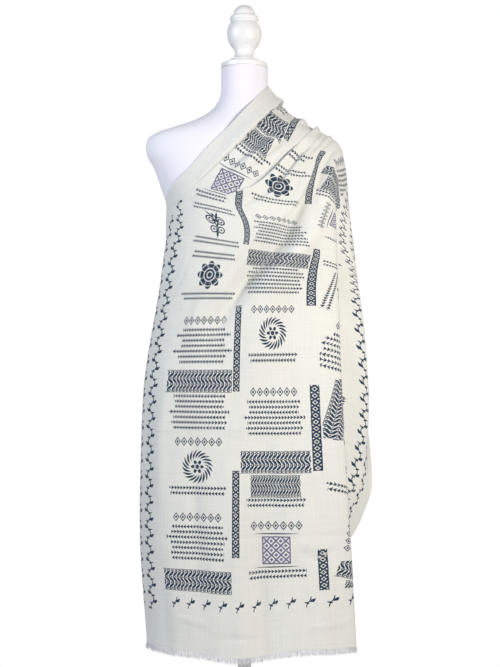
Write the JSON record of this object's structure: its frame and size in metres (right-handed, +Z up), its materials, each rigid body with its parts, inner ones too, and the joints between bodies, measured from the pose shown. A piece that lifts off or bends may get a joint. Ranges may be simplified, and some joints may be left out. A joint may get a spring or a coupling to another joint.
{
  "type": "shawl on dress form",
  "caption": "Fringed rectangular shawl hung over one shoulder of a limbless dress form on a round stand, for display.",
  "frame": {"origin": "centre of the stand base's underside, on the floor under the pole", "axes": "+Z up along the pole, the front of the form faces -Y, the shawl lies on the +X shoulder"},
  "size_m": [0.4877, 0.3338, 1.5695],
  "materials": {
    "cloth": "thin plain-woven shawl cloth, off-white with a dark blue printed pattern",
    "fringe": "short frayed yarn ends, off-white",
    "form_cover": "tight white jersey cover",
    "painted_wood": "turned wood, white satin paint",
    "stand": "white powder coat"
  },
  "bodies": {
    "root": {"shawl_front_fall": "cloth", "shawl_side_fall": "cloth", "shawl_back_fall": "cloth", "fringe_front": "fringe", "fringe_back": "fringe", "form_body": "form_cover", "neck_cap": "painted_wood", "finial": "painted_wood", "stand_pole": "stand", "stand_base": "stand"}
  },
  "joints": []
}
